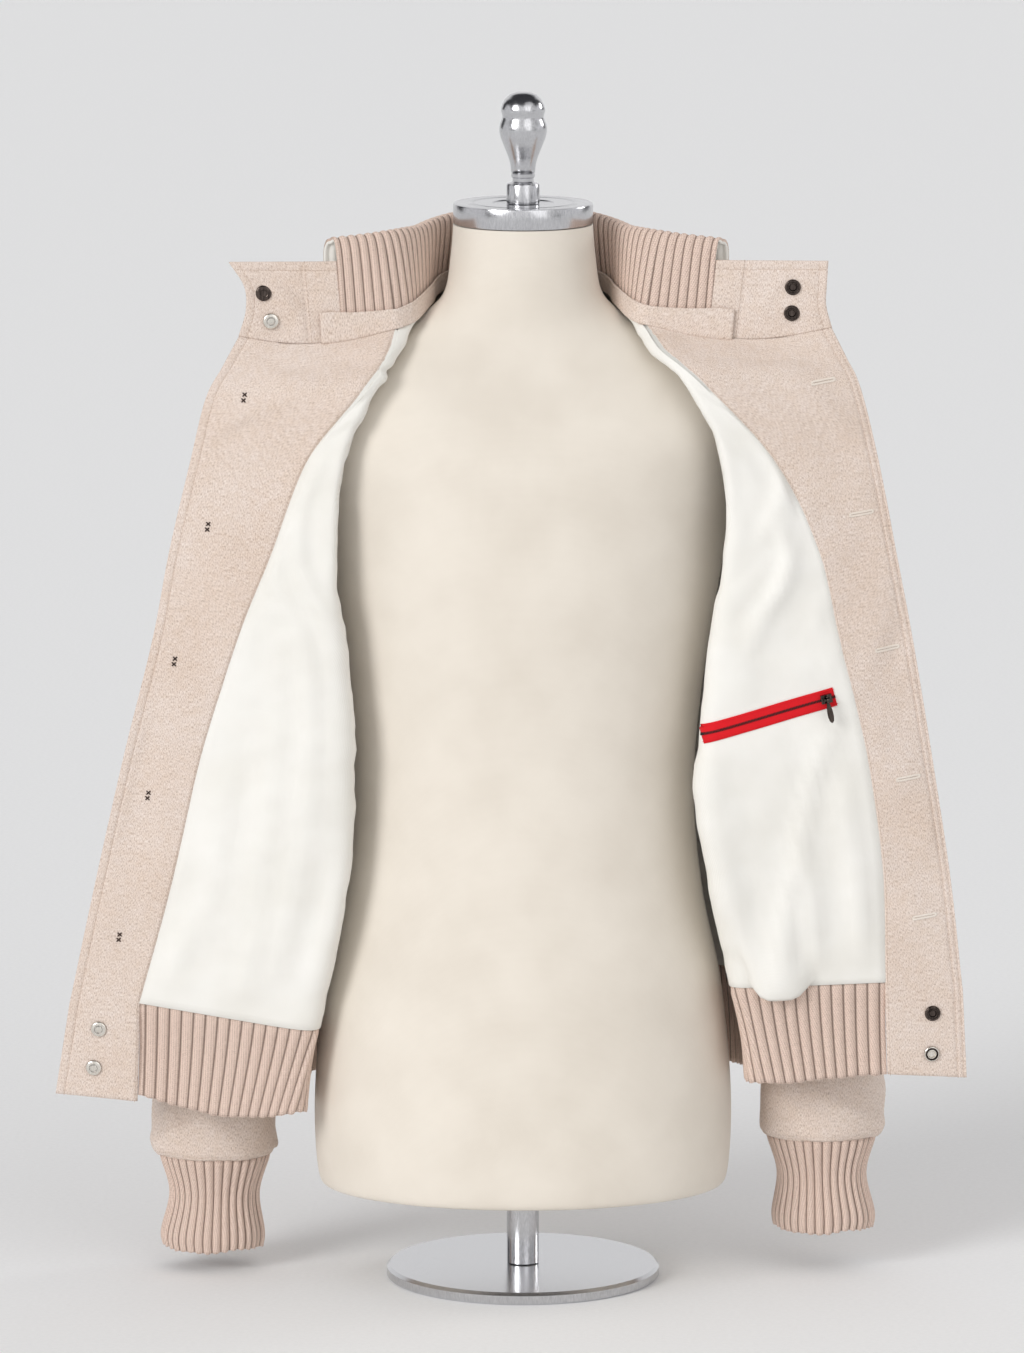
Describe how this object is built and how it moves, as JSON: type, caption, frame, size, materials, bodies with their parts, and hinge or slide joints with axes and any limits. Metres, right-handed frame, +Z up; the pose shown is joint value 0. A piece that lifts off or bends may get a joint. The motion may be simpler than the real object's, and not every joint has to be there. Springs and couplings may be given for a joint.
{
  "type": "wool blouson jacket on a dress form",
  "caption": "Short wool blouson with rib-knit collar, cuffs and hem, worn wide open on a limbless dress form with a metal neck plate, finial and low stand.",
  "frame": {"origin": "centre of the stand's base, on its underside", "axes": "+Z up, -Y toward the open front, +X to the viewer's right; left and right in names are the viewer's"},
  "size_m": [0.7299, 0.2584, 0.959],
  "materials": {
    "wool": "milled wool flannel, beige melange",
    "rib": "wool rib knit, darker beige",
    "lining": "soft off-white lining",
    "form": "cream jersey stretched over a hard form",
    "steel": "turned and polished steel",
    "dark": "black nickel",
    "silver": "nickel",
    "horn": "dark horn",
    "tape": "red zip tape"
  },
  "bodies": {
    "jacket_and_form": {"back": "wool", "button_1": "horn", "button_2": "horn", "button_3": "horn", "button_4": "horn", "button_5": "horn", "collar_rib": "rib", "collar_tab_left": "wool", "collar_tab_right": "wool", "cuff_left": "rib", "cuff_right": "rib", "facing_left": "wool", "facing_right": "wool", "finial": "steel", "form_torso": "form", "front_left": "wool", "front_right": "wool", "hem_rib": "rib", "lining_left": "lining", "lining_right": "lining", "neck_band": "wool", "neck_plate": "steel", "sleeve_left": "wool", "sleeve_right": "wool", "snap_collar_left_1": "dark", "snap_collar_left_2": "silver", "snap_collar_right_1": "dark", "snap_collar_right_2": "dark", "snap_hem_left_1": "silver", "snap_hem_left_2": "silver", "snap_hem_right_1": "dark", "snap_hem_right_2": "silver", "stand_base": "steel", "stand_pole": "steel", "zip_slider": "dark", "zip_tape": "tape"},
    "pull": {"zip_pull": "dark"}
  },
  "joints": [
    {"name": "pull_swing", "type": "hinge", "parent": "jacket_and_form", "child": "pull", "pos_m": [0.24041, -0.09006, 0.48597], "axis": [-0.9632, -0.1554, -0.2193], "range_deg": [0, 150]}
  ]
}
